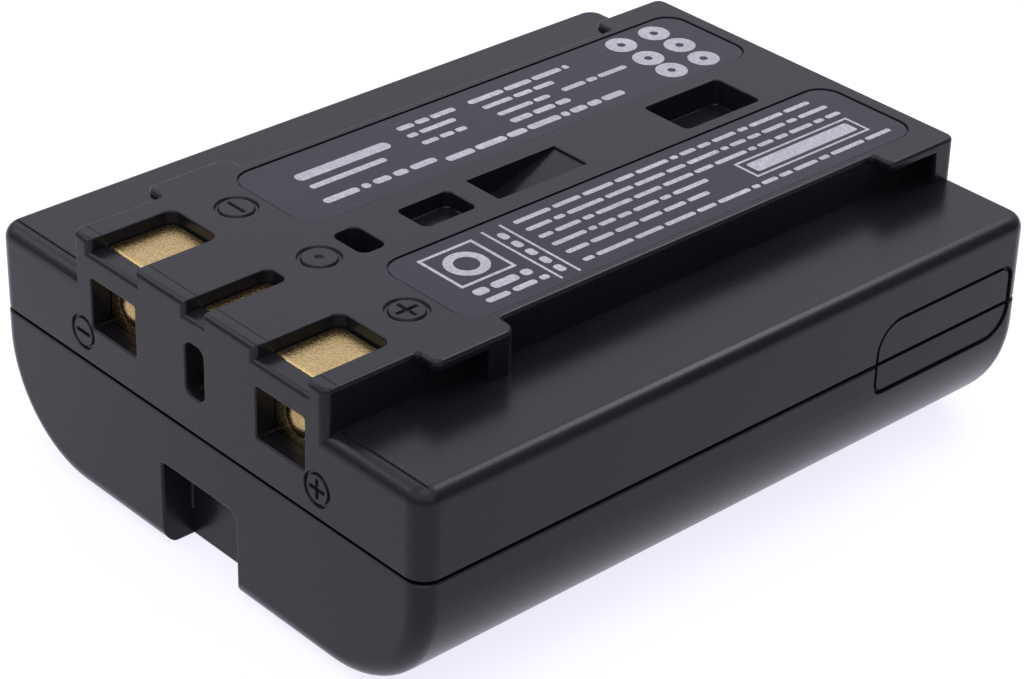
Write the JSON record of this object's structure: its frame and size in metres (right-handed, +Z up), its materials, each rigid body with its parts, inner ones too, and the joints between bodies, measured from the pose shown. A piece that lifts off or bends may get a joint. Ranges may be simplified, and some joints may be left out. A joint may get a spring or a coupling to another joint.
{
  "type": "laser level battery",
  "caption": "Slide-in rechargeable battery pack for a laser level: round-bottomed tray, stepped top with rail ears, recessed contacts at one end.",
  "frame": {"origin": "middle of the underside", "axes": "+Z up through the stepped top, +Y along the length towards the closed end (contacts at -Y), +X across the rails"},
  "size_m": [0.062, 0.0776, 0.0283],
  "materials": {
    "lower_plastic": "fine satin texture, dark charcoal",
    "upper_plastic": "fine satin texture, dark charcoal, polished decks",
    "carrier_plastic": "moulded black",
    "contact_metal": "gold plated, slightly grainy",
    "cell_can": "nickel plated can",
    "sleeve_film": "shrink film",
    "ring_paper": "insulating paper",
    "nickel_strip": "bare strip",
    "foam": "closed cell foam",
    "card": "insulating card",
    "spacer_plastic": "moulded black",
    "red_insulation": "wire insulation",
    "black_insulation": "wire insulation",
    "bead_resin": "dipped resin",
    "board_laminate": "solder mask",
    "chip_resin": "moulded resin",
    "chip_ceramic": "sintered ceramic",
    "label_film": "thin printed film"
  },
  "bodies": {
    "root": {"lower_shell": "lower_plastic", "upper_shell": "upper_plastic", "contact_carrier": "carrier_plastic", "contact_negative": "contact_metal", "contact_middle": "contact_metal", "contact_positive": "contact_metal", "cell_left": "cell_can", "cell_right": "cell_can", "cell_sleeve_left": "sleeve_film", "cell_sleeve_right": "sleeve_film", "cell_ring_left": "ring_paper", "cell_ring_right": "ring_paper", "bus_front": "nickel_strip", "bus_rear": "nickel_strip", "insulating_card": "card", "foam_rear": "foam", "foam_left": "foam", "foam_right": "foam", "cell_spacer": "spacer_plastic", "lead_positive": "red_insulation", "lead_negative": "black_insulation", "thermistor": "bead_resin", "protection_board": "board_laminate", "control_chip": "chip_resin", "switch_chip_left": "chip_resin", "switch_chip_right": "chip_resin", "sense_resistor": "chip_resin", "filter_capacitor": "chip_ceramic", "bypass_capacitor": "chip_ceramic", "label_left": "label_film", "label_right": "label_film"}
  },
  "joints": []
}
